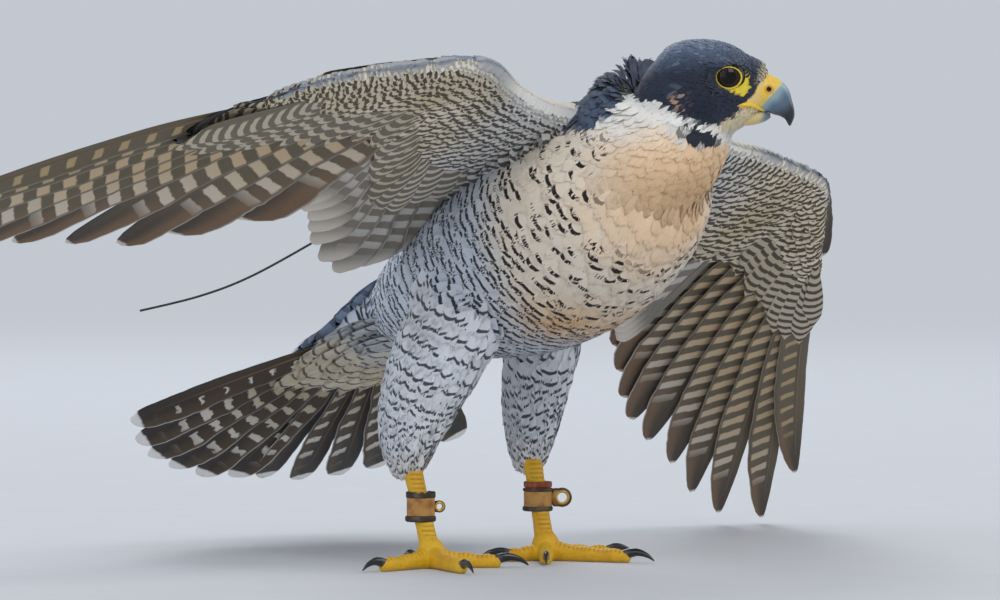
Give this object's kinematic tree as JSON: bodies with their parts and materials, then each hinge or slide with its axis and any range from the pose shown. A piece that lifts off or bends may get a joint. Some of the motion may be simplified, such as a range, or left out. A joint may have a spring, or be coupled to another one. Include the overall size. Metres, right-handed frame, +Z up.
{
  "type": "peregrine falcon model",
  "caption": "Life-size peregrine falcon standing on both feet, one wing held out and the other half folded, tail spread.",
  "frame": {"origin": "on the floor, below the middle of the whole bird", "axes": "+X to the bird's left and its longest extent across the wings, -Y the way the body faces, +Z up"},
  "size_m": [0.7312, 0.3796, 0.2616],
  "materials": {
    "body_feathers": "soft layered feathers, buff to bluish white with dark bars",
    "head_feathers": "short sleek feathers, slate blue-black",
    "flight_feathers": "stiff feathers, grey-brown with pale bars",
    "yellow_skin": "scaly yellow skin",
    "bill_horn": "smooth blue-grey horn",
    "claw_horn": "smooth black horn",
    "eye": "wet dark brown",
    "band_leather": "worn leather",
    "tag_casing": "matt black"
  },
  "bodies": {
    "root": {"torso": "body_feathers", "neck": "body_feathers", "head": "head_feathers", "cere": "yellow_skin", "bill_upper": "bill_horn", "bill_lower": "bill_horn", "eye_left": "eye", "eye_right": "eye", "tail": "flight_feathers", "transmitter": "tag_casing", "antenna": "tag_casing", "wing_right": "flight_feathers", "thigh_right": "body_feathers", "tarsus_right": "yellow_skin", "foot_right": "yellow_skin", "anklet_right": "band_leather", "claw_right_1": "claw_horn", "claw_right_2": "claw_horn", "claw_right_3": "claw_horn", "claw_right_4": "claw_horn", "wing_left": "flight_feathers", "thigh_left": "body_feathers", "tarsus_left": "yellow_skin", "foot_left": "yellow_skin", "anklet_left": "band_leather", "claw_left_1": "claw_horn", "claw_left_2": "claw_horn", "claw_left_3": "claw_horn", "claw_left_4": "claw_horn"}
  },
  "joints": []
}
